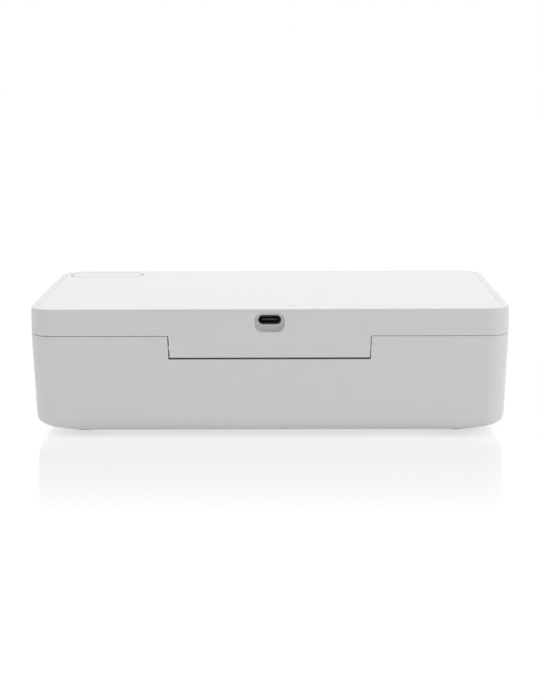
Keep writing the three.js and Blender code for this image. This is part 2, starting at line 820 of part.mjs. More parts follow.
function lampPlaces() {
  return Array.from({ length: ledCount }, (_, i) => (i - (ledCount - 1) / 2) * lampPitch);
}

function boardPegPlaces() {
  return [
    [-boardRightReach, boardRearY + boardRearBarDepth - boardSideBarWidth / 4],
    [boardLeftX + boardSideBarWidth / 4, 0],
    [boardLeftX + boardSideBarWidth / 2, boardRearY + boardRearBarDepth / 2],
  ];
}

function makeLidLiner() {
  const outline = bodySection(linerBottomZ, wall + fitGap);
  let liner = plate(outline, linerBottomZ, linerTopZ, cornerSteps);
  const lipOuter = plate(outline, linerTopZ - linerThickness / 2, linerTopZ + linerScrewPad, cornerSteps);
  const lipInner = plate(
    bodySection(linerBottomZ, wall + fitGap + linerLipThickness),
    linerTopZ - linerThickness, linerTopZ + linerScrewPad + cutOverrun, cornerSteps,
  );
  liner = liner.add(lipOuter.subtract(lipInner));
  for (const { x, y } of linerScrewPlaces()) {
    liner = liner.add(disc(bossDiameter, x, y, linerTopZ - linerThickness / 2, linerTopZ + linerScrewPad));
    liner = liner.subtract(disc(
      linerScrewHeadDiameter + 2 * fitGap, x, y, linerBottomZ - cutOverrun,
      linerBottomZ + linerScrewHeadHeight + fitGap,
    ));
    liner = liner.subtract(disc(
      linerScrewShankDiameter + 2 * fitGap, x, y, linerBottomZ, linerTopZ + linerScrewPad + cutOverrun,
    ));
  }
  for (const x of lampPlaces()) {
    liner = liner.add(disc(
      lensDiameter + 2 * (fitGap + collarWall), x, mouthY, linerTopZ - linerThickness / 2,
      lampBoardBottomZ - seatGap,
    ));
    liner = liner.subtract(disc(
      lensDiameter + 2 * fitGap, x, mouthY, linerBottomZ - cutOverrun,
      linerBottomZ + lensRecess + lensThickness + seatGap,
    ));
    liner = liner.subtract(disc(
      lensDiameter - 2 * lensSeat, x, mouthY, linerBottomZ, lampBoardBottomZ + cutOverrun,
    ));
  }
  for (const [, sign] of sides) {
    liner = liner.add(disc(
      magnetCupDiameter, sign * magnetX, magnetY,
      linerTopZ - linerThickness / 2, linerTopZ + magnetThickness,
    ));
    liner = liner.subtract(disc(
      magnetDiameter + 2 * fitGap, sign * magnetX, magnetY,
      linerTopZ, linerTopZ + magnetThickness + cutOverrun,
    ));
  }
  const cupHalf = socketMouthWidth / 2 + socketCupWall + fitGap;
  liner = liner.subtract(block(
    -cupHalf, cupHalf, rearY, boardRearY,
    linerBottomZ - cutOverrun, linerTopZ + linerScrewPad + cutOverrun,
  ));
  for (const [x, y] of boardPegPlaces()) {
    liner = liner.add(disc(pegDiameter, x, y, linerTopZ - linerThickness / 2, boardTopZ + pegStandout));
  }
  return meshOf('lid_liner', liner, 'liner');
}

function makeLinerScrews() {
  return linerScrewPlaces().map(({ name, x, y }) => meshOf(`liner_screw_${name}`, screw(
    x, y, linerBottomZ, linerScrewHeadDiameter, linerScrewHeadHeight,
    linerScrewShankDiameter, linerScrewLength,
  ), 'steel'));
}

function makeLidMagnets() {
  return sides.map(([side, sign]) => magnet(
    `lid_magnet_${side}`, sign * magnetX, magnetY, linerTopZ + seatGap,
  ));
}

// Each lamp shines down through a window that rests on the liner's seat
function makeLamps() {
  return lampPlaces().flatMap((x, i) => {
    const window = plate(
      { x, y: mouthY, width: lensDiameter, depth: lensDiameter, radius: lensDiameter },
      linerBottomZ + lensRecess, linerBottomZ + lensRecess + lensThickness, edgeSteps,
    );
    const lamp = plate(
      { x, y: mouthY, width: ledSize, depth: ledSize, radius: ledSize / cornerSteps },
      lampBoardBottomZ - seatGap - ledHeight, lampBoardBottomZ - seatGap, 1,
    );
    return [
      meshOf(`lamp_window_${i + 1}`, window, 'quartz'),
      meshOf(`uv_led_${i + 1}`, lamp, 'ceramic'),
    ];
  });
}

function makeLampBoard() {
  const board = plate(
    { y: mouthY, width: 2 * lampBoardHalf, depth: lampBoardWidth, radius: boardCorner },
    lampBoardBottomZ, lampBoardTopZ,
  );
  return meshOf('lamp_board', board, 'lampBoard');
}

// The L-shaped board: a bar behind the socket and a bar along the left side to the button
function makeMainBoard() {
  const frontEdge = frontY - boardFrontInset;
  const rearBar = plate({
    x: (boardRightReach + boardLeftX) / 2,
    y: boardRearY + boardRearBarDepth / 2,
    width: boardRightReach - boardLeftX,
    depth: boardRearBarDepth,
    radius: boardCorner,
  }, boardBottomZ, boardTopZ);
  const sideBar = plate({
    x: buttonX,
    y: (boardRearY + frontEdge) / 2,
    width: boardSideBarWidth,
    depth: frontEdge - boardRearY,
    radius: boardCorner,
  }, boardBottomZ, boardTopZ);
  let board = rearBar.add(sideBar);
  for (const [x, y] of boardPegPlaces()) {
    board = board.subtract(disc(
      pegDiameter + 2 * fitGap, x, y, boardBottomZ - cutOverrun, boardTopZ + cutOverrun,
    ));
  }
  return meshOf('main_board', board, 'board');
}

function makeBoardParts() {
  const chip = block(
    -chipReach - chipSize / 2, -chipReach + chipSize / 2,
    boardRearY + boardRearBarDepth / 2 - chipSize / 2,
    boardRearY + boardRearBarDepth / 2 + chipSize / 2,
    boardTopZ + seatGap, boardTopZ + seatGap + chipHeight,
  );
  const sensor = block(
    sensorX - sensorLength / 2, sensorX + sensorLength / 2,
    sensorMagnetY - sensorWidth / 2, sensorMagnetY + sensorWidth / 2,
    boardTopZ + seatGap, boardTopZ + seatGap + sensorHeight,
  );
  const indicatorLed = plate(
    {
      x: indicatorOffset, y: indicatorY, width: indicatorLedSize, depth: indicatorLedSize,
      radius: indicatorLedSize / cornerSteps,
    },
    boardTopZ + seatGap, boardTopZ + seatGap + indicatorLedHeight, 1,
  );
  return [
    meshOf('control_chip', chip, 'chip'),
    meshOf('lid_sensor', sensor, 'chip'),
    meshOf('indicator_led', indicatorLed, 'ceramic'),
  ];
}

// The flat flexible cable that climbs from the main board to the lamp board
function makeFlexCable() {
  const startX = boardLeftX + boardSideBarWidth - flexLap;
  const endX = -lampBoardHalf + flexLap;
  const lowZ = boardTopZ + seatGap;
  const highZ = lampBoardTopZ + seatGap;
  const middleX = (startX + flexLap + endX - flexLap) / 2;
  const shape = new THREE.Shape();
  shape.moveTo(startX, lowZ);
  shape.lineTo(startX + flexLap, lowZ);
  shape.bezierCurveTo(middleX, lowZ, middleX, highZ, endX - flexLap, highZ);
  shape.lineTo(endX, highZ);
  shape.lineTo(endX, highZ + flexThickness);
  shape.lineTo(endX - flexLap, highZ + flexThickness);
  shape.bezierCurveTo(
    middleX, highZ + flexThickness, middleX, lowZ + flexThickness, startX + flexLap, lowZ + flexThickness,
  );
  shape.lineTo(startX, lowZ + flexThickness);
  shape.closePath();
  return meshOf('flex_cable', alongY(shape, mouthY - flexWidth / 2, mouthY + flexWidth / 2), 'flex');
}

function makeSocket() {
  const front = socketRecessDepth + fitGap;
  const back = front + plugShellLength;
  const tubeOuter = socketSection(plugShellWidth, plugShellHeight, plugShellHeight);
  const innerHeight = plugShellHeight - 2 * plugShellWall;
  const tubeInner = socketSection(plugShellWidth - 2 * plugShellWall, innerHeight, innerHeight);
  const shell = socketLoft([{ inset: front, ...tubeOuter }, { inset: back, ...tubeOuter }]).subtract(
    socketLoft([
      { inset: front - cutOverrun, ...tubeInner }, { inset: back - plugShellWall, ...tubeInner },
    ]),
  );
  const tongueBack = back - plugShellWall - seatGap;
  const rootInset = front + plugTongueLength;
  const root = socketSection(
    plugShellWidth - 2 * (plugShellWall + seatGap), innerHeight - 2 * seatGap, innerHeight,
  );
  const blade = socketSection(plugTongueWidth, plugTongueHeight, plugTongueHeight / 4);
  const insert = socketLoft([{ inset: rootInset, ...root }, { inset: tongueBack, ...root }]).add(
    socketLoft([{ inset: front + fitGap, ...blade }, { inset: rootInset + fitGap, ...blade }]),
  );
  return [meshOf('socket_shell', shell, 'steel'), meshOf('socket_insert', insert, 'chip')];
}

// Start button

function makeStartButton() {
  const outline = { x: buttonX, y: buttonY, width: buttonLength, depth: buttonDepth, radius: buttonDepth };
  const flange = {
    ...outline,
    width: buttonLength + 2 * (buttonFlange + buttonGap),
    depth: buttonDepth + 2 * (buttonFlange + buttonGap),
  };
  const flangeTop = plateBottomZ - seatGap;
  const button = joined([
    plate(outline, flangeTop - buttonFlangeThickness / 2, topZ, cornerSteps),
    plate(flange, flangeTop - buttonFlangeThickness, flangeTop, cornerSteps),
    disc(buttonStemDiameter, buttonX, buttonY, buttonStemZ, topZ - buttonCapThickness / 2),
  ]);
  const hollow = plate(
    {
      ...outline,
      width: buttonLength - 2 * buttonCapThickness, depth: buttonDepth - 2 * buttonCapThickness,
    },
    flangeTop - buttonFlangeThickness - cutOverrun, topZ - buttonCapThickness, cornerSteps,
  ).subtract(disc(buttonStemDiameter, buttonX, buttonY, seamZ, topZ));
  return meshOf('start_button', button.subtract(hollow), 'plate');
}

function makeSwitch() {
  const body = plate(
    { x: buttonX, y: buttonY, width: switchSize, depth: switchSize, radius: switchSize / cornerSteps },
    boardTopZ + seatGap, switchTopZ,
  ).subtract(disc(
    plungerDiameter + 2 * fitGap, buttonX, buttonY,
    switchTopZ - plungerEngagement - 2 * buttonTravel, switchTopZ + cutOverrun,
  ));
  const plunger = disc(
    plungerDiameter, buttonX, buttonY, switchTopZ - plungerEngagement, switchTopZ + plungerStandout,
  );
  return [meshOf('switch_body', body, 'chip'), meshOf('switch_plunger', plunger, 'reflector')];
}

// The light pipe that shows the indicator lamp on the top of the lid
function makeIndicator() {
  const bottom = boardTopZ + seatGap + indicatorLedHeight + fitGap;
  const flangeTop = plateBottomZ - seatGap;
  const pipe = disc(indicatorDiameter, indicatorOffset, indicatorY, bottom, topZ).add(disc(
    indicatorDiameter + 2 * indicatorFlange, indicatorOffset, indicatorY,
    flangeTop - indicatorFlangeThickness, flangeTop,
  ));
  return meshOf('indicator_pipe', pipe, 'quartz');
}

const box = new THREE.Group();

const base = new THREE.Group();
base.add(makeBaseShell(), makeInnerTray());
base.add(...makeFeet(), ...makeTrayScrews(), ...makeTrayMagnets(), ...makeHingePins());

const lid = new THREE.Group();
lid.add(makeLidShell(), makeTopPlate(), makeLidLiner(), makeMainBoard(), makeLampBoard());
lid.add(...makeLinerScrews(), ...makeLidMagnets(), ...makeLamps(), ...makeBoardParts());
lid.add(makeFlexCable(), ...makeSocket(), makeIndicator());

const [switchBody, switchPlunger] = makeSwitch();
lid.add(switchBody);

const button = new THREE.Group();
button.add(makeStartButton(), switchPlunger);

box.add(base, lid, button);

export default box;
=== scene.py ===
import json
import math

import bmesh
import bpy
from mathutils import Matrix, Vector


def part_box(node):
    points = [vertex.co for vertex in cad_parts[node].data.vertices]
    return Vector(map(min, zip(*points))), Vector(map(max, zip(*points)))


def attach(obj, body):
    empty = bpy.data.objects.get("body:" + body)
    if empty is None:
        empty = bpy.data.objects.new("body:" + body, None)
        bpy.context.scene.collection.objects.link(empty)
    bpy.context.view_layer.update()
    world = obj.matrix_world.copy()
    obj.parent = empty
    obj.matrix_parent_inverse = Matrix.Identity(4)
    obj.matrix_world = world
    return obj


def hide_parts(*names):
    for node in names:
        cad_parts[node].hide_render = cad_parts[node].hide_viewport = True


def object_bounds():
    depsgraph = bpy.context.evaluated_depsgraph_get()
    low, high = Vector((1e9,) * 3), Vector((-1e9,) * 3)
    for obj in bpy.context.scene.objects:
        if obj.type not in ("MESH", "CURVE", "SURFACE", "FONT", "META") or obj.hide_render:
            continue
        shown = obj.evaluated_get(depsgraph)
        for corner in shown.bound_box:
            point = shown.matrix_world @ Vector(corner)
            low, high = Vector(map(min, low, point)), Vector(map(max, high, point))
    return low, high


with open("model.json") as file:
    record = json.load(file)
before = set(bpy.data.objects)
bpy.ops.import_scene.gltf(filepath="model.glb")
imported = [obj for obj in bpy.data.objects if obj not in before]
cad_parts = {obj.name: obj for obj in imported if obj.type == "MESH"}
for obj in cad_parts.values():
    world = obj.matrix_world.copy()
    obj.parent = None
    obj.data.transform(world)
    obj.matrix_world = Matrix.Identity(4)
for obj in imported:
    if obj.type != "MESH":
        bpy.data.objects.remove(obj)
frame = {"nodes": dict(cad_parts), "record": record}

MM = 0.001
cad_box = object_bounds()
nodes = frame["nodes"]
scene = bpy.context.scene

# Camera, fitted to the photograph's frame of 540 x 700
LENS_MM = 78.54
SENSOR_MM = 36.0
CAMERA_X = 5.82 * MM
CAMERA_FROM_REAR = 636.1 * MM
CAMERA_HEIGHT = 162.7 * MM
CAMERA_PITCH_DEG = 10.992
CAMERA_YAW_DEG = 0.512
CAMERA_ROLL_DEG = -0.235

# Light, with the lamps' places and sizes in metres. The side lamps don't show in reflections.
WORLD_LIGHT = 0.408
SEEN_WHITE = 1.0
WHITE = (1, 1, 1, 1)
BOX_MIDDLE = (0, 0, 0.03)
LAMPS = {
    "top_lamp": dict(place=(0.0, 0.25, 1.4), target=(0, 0, 0), size=(1.3, 1.0), power=9.2),
    "right_lamp": dict(place=(1.5, -0.5, 0.8), size=(1.5, 1.5), power=7.3, mirrored=False),
    "left_lamp": dict(place=(-1.5, -0.5, 0.8), size=(1.5, 1.5), power=2.4, mirrored=False),
    "rear_lamp": dict(place=(0.0, -1.8, 0.9), size=(1.2, 0.8), power=0.1),
}

# Floor: white to the eye and a little darker where the box stands close above it. It mirrors the
# box, weakly close to it and not at all beyond the gloss reach. Other light meets a pale floor.
FLOOR_REACH = 6.0
FLOOR_ALBEDO = 0.8
FLOOR_SEEN_ALBEDO = 0.05
FLOOR_SEEN_GLOW = 0.98
FLOOR_SHADOW_REACH = 15 * MM
FLOOR_SHADOW_CURVE = 4.0
FLOOR_SHADOW_SHARE = 0.22
FLOOR_SHADOW_SAMPLES = 16
FLOOR_GLOSS_REACH = 114 * MM
FLOOR_GLOSS_CURVE = 3.0
FLOOR_GLOSS_SHARE = 1.2
FLOOR_GLOSS_NEAR = 26 * MM
FLOOR_GLOSS_NEAR_SHARE = 0.42
FLOOR_IOR = 1.45
FLOOR_ROUGHNESS = 0.03

# Materials: how the noises, the worn edges and the grain are read
BROAD_DETAIL = 2.0
FINE_DETAIL = 4.0
NOISE_LOW = 0.3
NOISE_HIGH = 0.7
SPECKLE_SHARE = 0.5
WORN_START = 0.52
WORN_END = 0.6
WORN_SHARE = 0.6
BUMP_STRENGTH = 0.35
# The Mix node's colour sockets, which share their names with its number sockets
MIX_FIRST, MIX_SECOND, MIX_RESULT = 6, 7, 2

# Tolerances, and steps round curves
WELD = 0.001 * MM
SAME = 10 * WELD
NEAR = 1 * MM
OVERRUN = 1 * MM
FLAT_DEG = 0.4
CREASE_DEG = 28
CORNER_STEPS = 16
FEW_STEPS = 2
EDGE_STEPS = 4

# Bevels. In a large moulding they take only outer creases that run level, LONG_RUN in all at one
# height, and that have BEVEL_ROOM times the bevel's width beside them.
FINE_EDGE = 0.12 * MM
SHARP_EDGE = 0.08 * MM
SEAM_EDGE = 0.05 * MM
BEVEL_SEGMENTS = 2
BEVEL_PROFILE = 0.5
BEVEL_ROOM = 2.2
LONG_RUN = 150 * MM
LEVEL = 0.02 * MM
LEVEL_STEP = 5 * LEVEL

# Shapes that the frame's boxes don't give
LARGE_MOULDINGS = {"base_shell", "lid_shell", "inner_tray", "lid_liner"}
CORNER_RADIUS = 10.4 * MM
RIM_WIDTH = 3.0 * MM
CAD_TOP_EDGE = 0.6 * MM
TOP_EDGE = 0.2 * MM
LID_TOP_LEAN = 0.163 * MM
PLATE_GAP = 0.07 * MM
PIPE_GAP = 0.015 * MM
CAD_GAP = 0.3 * MM
SEAT_GAP = 0.15 * MM
SEAM_GAP = 0.4 * MM
SEAM_CLOSED = 0.15 * MM
SEAM_CLOSED_RIGHT = 0.2 * MM
TONGUE_HALF = 43 * MM
TONGUE_DEPTH = 9.5 * MM
TONGUE_SIDE_CLOSED = 0.15 * MM
TONGUE_FOOT_RAISED = 0.3 * MM
SEAM_CORNER_SHARE = 0.85
SHELL_WALL = 2.2 * MM
RECESS_HALF = 6.6 * MM
RECESS_START = 0.1 * MM
RECESS_DEPTH = 6 * MM
RECESS_BOTTOM_RISE = 1.3 * MM

# Start button and indicator
BUTTON_FLANGE = 1.1 * MM
BUTTON_FLANGE_THICKNESS = 0.8 * MM
BUTTON_WALL = 1.4 * MM
BUTTON_EDGE = 0.04 * MM
BUTTON_HOLE_GROWN = 0.2 * MM
BUTTON_DRAWN_IN = 0.15 * MM
BUTTON_STEM_DIAMETER = 5 * MM
PIPE_FLANGE = 0.5 * MM
PIPE_FLANGE_THICKNESS = 0.8 * MM

# Feet and screws
FOOT_EDGE = 0.7 * MM
FOOT_DISH_RADIUS = 3.6 * MM
FOOT_DISH_DEPTH = 0.5 * MM
FOOT_GROOVES = (4.6 * MM, 5.5 * MM)
FOOT_GROOVE_WIDTH = 0.3 * MM
FOOT_GROOVE_DEPTH = 0.2 * MM
SCREW_HEAD_HEIGHT = {"tray": 1.6 * MM, "liner": 1.2 * MM}
SCREW_SHANK_DIAMETER = {"tray": 2.6 * MM, "liner": 2.2 * MM}
SCREW_DOME_SHARE = 0.35
SCREW_SLOT_WIDTH = 0.8 * MM
SCREW_SLOT_DEPTH = 0.7 * MM
SCREW_SLOT_SHARE = 0.62
SCREW_SLOT_TAPER = 0.2 * MM
SCREW_SLOT_CORNER = SCREW_SLOT_TAPER / 2
SCREW_TIP_SHARE = 0.5

# Charging socket
SOCKET_WALL = 0.3 * MM
BLADE_WIDTH = 6.7 * MM
BLADE_HEIGHT = 0.7 * MM
BLADE_LENGTH = 4.2 * MM
BLADE_CORNER = BLADE_HEIGHT / 4
CONTACT_COUNT = 12
CONTACT_PITCH = 0.5 * MM
CONTACT_WIDTH = 0.28 * MM
CONTACT_START = 0.45 * MM
CONTACT_LENGTH = 3.5 * MM
CONTACT_RISE = 0.05 * MM
CONTACT_CORNER = CONTACT_RISE / 2

# Ultraviolet lamps and their windows
LAMP_COUNT = 4
LAMP_CORNER_SHARE = 0.125
LAMP_WELL_DIAMETER = 2.7 * MM
LAMP_WELL_TAPER = 0.25 * MM
LAMP_WELL_DEPTH = 0.5 * MM
DIE_SIZE = 1.1 * MM
DIE_HEIGHT = 0.15 * MM
DIE_CORNER = DIE_SIZE / 16
WINDOW_CHAMFER = 0.2 * MM

# What the frame gives
record = frame["record"]
node_slot = {part["node"]: part["material_slot"] for part in record["subparts"]}
node_body = {
    name: body for body, names in record["behaviour"]["bodies"].items() for name in names
}
rear_y = cad_box[0][1]
top_z = cad_box[1][2]
seam_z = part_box("base_shell")[1][2]
body_width = cad_box[1][0] - cad_box[0][0]
body_depth = cad_box[1][1] - cad_box[0][1]


def make_camera():
    data = bpy.data.cameras.new("camera")
    data.sensor_width = SENSOR_MM
    data.lens = LENS_MM
    camera = bpy.data.objects.new("camera", data)
    scene.collection.objects.link(camera)
    place = Matrix.Translation((CAMERA_X, rear_y - CAMERA_FROM_REAR, CAMERA_HEIGHT))
    turn = Matrix.Rotation(math.radians(CAMERA_YAW_DEG), 4, "Z")
    tilt = Matrix.Rotation(math.radians(90 - CAMERA_PITCH_DEG), 4, "X")
    roll = Matrix.Rotation(math.radians(CAMERA_ROLL_DEG), 4, "Z")
    camera.matrix_world = place @ turn @ tilt @ roll
    scene.camera = camera


# Node graphs

def clear_tree(owner):
    owner.use_nodes = True
    owner.node_tree.nodes.clear()
    return owner.node_tree


def add(tree, kind, sockets=None, **settings):
    """Adds a node. A socket's value is a number, a colour, or another node's output to link."""
    made = tree.nodes.new("ShaderNode" + kind)
    for key, value in settings.items():
        setattr(made, key, value)
    for key, value in (sockets or {}).items():
        if isinstance(value, bpy.types.NodeSocket):
            tree.links.new(value, made.inputs[key])
        else:
            made.inputs[key].default_value = value
    return made


def math_node(tree, operation, first, second):
    return add(tree, "Math", {0: first, 1: second}, operation=operation).outputs[0]


def product(tree, first, *others):
    for other in others:
        first = math_node(tree, "MULTIPLY", first, other)
    return first


def spread(tree, value, low, high, start=NOISE_LOW, end=NOISE_HIGH):
    """Maps the range from start to end to the range from low to high"""
    return add(tree, "MapRange", {
        "Value": value, "From Min": start, "From Max": end, "To Min": low, "To Max": high,
    }).outputs[0]


def seen_share(tree):
    """1 for what the camera sees, in a reflection or through glass too, and 0 for other light"""
    path = add(tree, "LightPath").outputs
    direct = math_node(tree, "MAXIMUM", path["Is Camera Ray"], path["Is Glossy Ray"])
    return math_node(tree, "MAXIMUM", direct, path["Is Transmission Ray"])


def make_world():
    world = bpy.data.worlds.new("studio")
    scene.world = world
    tree = clear_tree(world)
    light = add(tree, "Background", {"Color": WHITE, "Strength": WORLD_LIGHT})
    white = add(tree, "Background", {"Color": WHITE, "Strength": SEEN_WHITE})
    mix = add(tree, "MixShader", {0: seen_share(tree), 1: light.outputs[0], 2: white.outputs[0]})
    add(tree, "OutputWorld", {"Surface": mix.outputs[0]})


def area_lamp(name, place, size, power, target=BOX_MIDDLE, mirrored=True):
    data = bpy.data.lights.new(name, "AREA")
    data.shape = "RECTANGLE"
    data.size, data.size_y = size
    data.energy = power
    lamp = bpy.data.objects.new(name, data)
    scene.collection.objects.link(lamp)
    lamp.location = place
    lamp.rotation_euler = (Vector(target) - Vector(place)).to_track_quat("-Z", "Y").to_euler()
    lamp.visible_glossy = mirrored


def floor_fade(tree):
    """How strongly the floor mirrors: weaker close to the box, and not at all beyond the reach"""
    place = add(tree, "NewGeometry").outputs["Position"]
    apart = add(tree, "VectorMath", {0: place}, operation="ABSOLUTE").outputs[0]
    half = (body_width / 2, body_depth / 2, 0)
    outside = add(tree, "VectorMath", {0: apart, 1: half}, operation="SUBTRACT").outputs[0]
    kept = add(tree, "VectorMath", {0: outside, 1: (0, 0, 0)}, operation="MAXIMUM").outputs[0]
    distance = add(tree, "VectorMath", {0: kept}, operation="LENGTH").outputs["Value"]
    share = math_node(tree, "DIVIDE", distance, FLOOR_GLOSS_REACH)
    curved = math_node(tree, "POWER", share, FLOOR_GLOSS_CURVE)
    left = math_node(tree, "MAXIMUM", math_node(tree, "SUBTRACT", 1.0, curved), 0.0)
    near = spread(tree, distance, FLOOR_GLOSS_NEAR_SHARE, 1.0, 0.0, FLOOR_GLOSS_NEAR)
    return product(tree, left, near, FLOOR_GLOSS_SHARE)


def contact_shade(tree):
    """1 on the open floor, and less where the box stands close above it"""
    occlusion = add(
        tree, "AmbientOcclusion", {"Distance": FLOOR_SHADOW_REACH}, samples=FLOOR_SHADOW_SAMPLES,
    )
    hidden = math_node(tree, "SUBTRACT", 1.0, occlusion.outputs["AO"])
    deep = math_node(tree, "POWER", hidden, FLOOR_SHADOW_CURVE)
    return math_node(tree, "SUBTRACT", 1.0, product(tree, deep, FLOOR_SHADOW_SHARE))


def make_floor():
    mesh = bpy.data.meshes.new("floor")
    sides = [(-1, -1), (1, -1), (1, 1), (-1, 1)]
    points = [(x * FLOOR_REACH, y * FLOOR_REACH, 0) for x, y in sides]
    mesh.from_pydata(points, [], [(0, 1, 2, 3)])
    floor = bpy.data.objects.new("floor", mesh)
    scene.collection.objects.link(floor)
    material = bpy.data.materials.new("floor")
    tree = clear_tree(material)
    seen = seen_share(tree)
    grey = product(tree, seen, FLOOR_SEEN_ALBEDO - FLOOR_ALBEDO)
    albedo = add(tree, "CombineColor", {
        channel: math_node(tree, "ADD", grey, FLOOR_ALBEDO) for channel in ("Red", "Green", "Blue")
    }).outputs[0]
    matt = add(tree, "BsdfDiffuse", {"Color": albedo})
    strength = product(tree, seen, FLOOR_SEEN_GLOW, contact_shade(tree))
    glow = add(tree, "Emission", {"Color": WHITE, "Strength": strength})
    body = add(tree, "AddShader", {0: matt.outputs[0], 1: glow.outputs[0]})
    gloss = add(tree, "BsdfGlossy", {"Color": WHITE, "Roughness": FLOOR_ROUGHNESS})
    fresnel = add(tree, "Fresnel", {"IOR": FLOOR_IOR}).outputs[0]
    weight = product(tree, fresnel, floor_fade(tree))
    mix = add(tree, "MixShader", {0: weight, 1: body.outputs[0], 2: gloss.outputs[0]})
    add(tree, "OutputMaterial", {"Surface": mix.outputs[0]})
    mesh.materials.append(material)


# Materials

def noise_value(tree, size, detail, stretch):
    place = add(tree, "TexCoord").outputs["Object"]
    scaled = add(tree, "VectorMath", {0: place, 1: stretch}, operation="MULTIPLY").outputs[0]
    noise = add(tree, "TexNoise", {"Vector": scaled, "Scale": 1 / size, "Detail": detail})
    return noise.outputs["Fac"]


def blend_colours(tree, share, first, second):
    mix = add(tree, "Mix", {0: share}, data_type="RGBA")
    for index, colour in ((MIX_FIRST, first), (MIX_SECOND, second)):
        if isinstance(colour, bpy.types.NodeSocket):
            tree.links.new(colour, mix.inputs[index])
        else:
            mix.inputs[index].default_value = (*colour, 1)
    return mix.outputs[MIX_RESULT]


def finish(name, light, dark, rough, patch=14 * MM, grain=0.3 * MM, depth=0.006 * MM,
           worn=None, stretch=(1, 1, 1), **sockets):
    """A material in patches between a light and a dark colour, with uneven roughness, given as its
    middle and its swing, and with a fine grain of the given depth. Edges take the worn colour, if
    there is one. The other settings go to the shader's own sockets."""
    material = bpy.data.materials.new(name)
    tree = clear_tree(material)
    broad = noise_value(tree, patch, BROAD_DETAIL, stretch)
    fine = noise_value(tree, grain, FINE_DETAIL, stretch)
    colour = blend_colours(tree, spread(tree, broad, 0, 1), dark, light)
    colour = blend_colours(tree, spread(tree, fine, 0, SPECKLE_SHARE), colour, light)
    if worn:
        pointed = add(tree, "NewGeometry").outputs["Pointiness"]
        edge = spread(tree, pointed, 0, WORN_SHARE, WORN_START, WORN_END)
        colour = blend_colours(tree, edge, colour, worn)
    middle, swing = rough
    uneven = product(tree, spread(tree, broad, -1, 1), swing)
    speckled = product(tree, spread(tree, fine, -SPECKLE_SHARE, SPECKLE_SHARE), swing)
    gloss = math_node(tree, "ADD", math_node(tree, "ADD", uneven, speckled), middle)
    bump = add(tree, "Bump", {"Strength": BUMP_STRENGTH, "Distance": depth, "Height": fine})
    surface = add(tree, "BsdfPrincipled", {
        "Base Color": colour, "Roughness": gloss, "Normal": bump.outputs[0],
    })
    for key, value in sockets.items():
        surface.inputs[key.replace("_", " ")].default_value = value
    add(tree, "OutputMaterial", {"Surface": surface.outputs[0]})
    return material


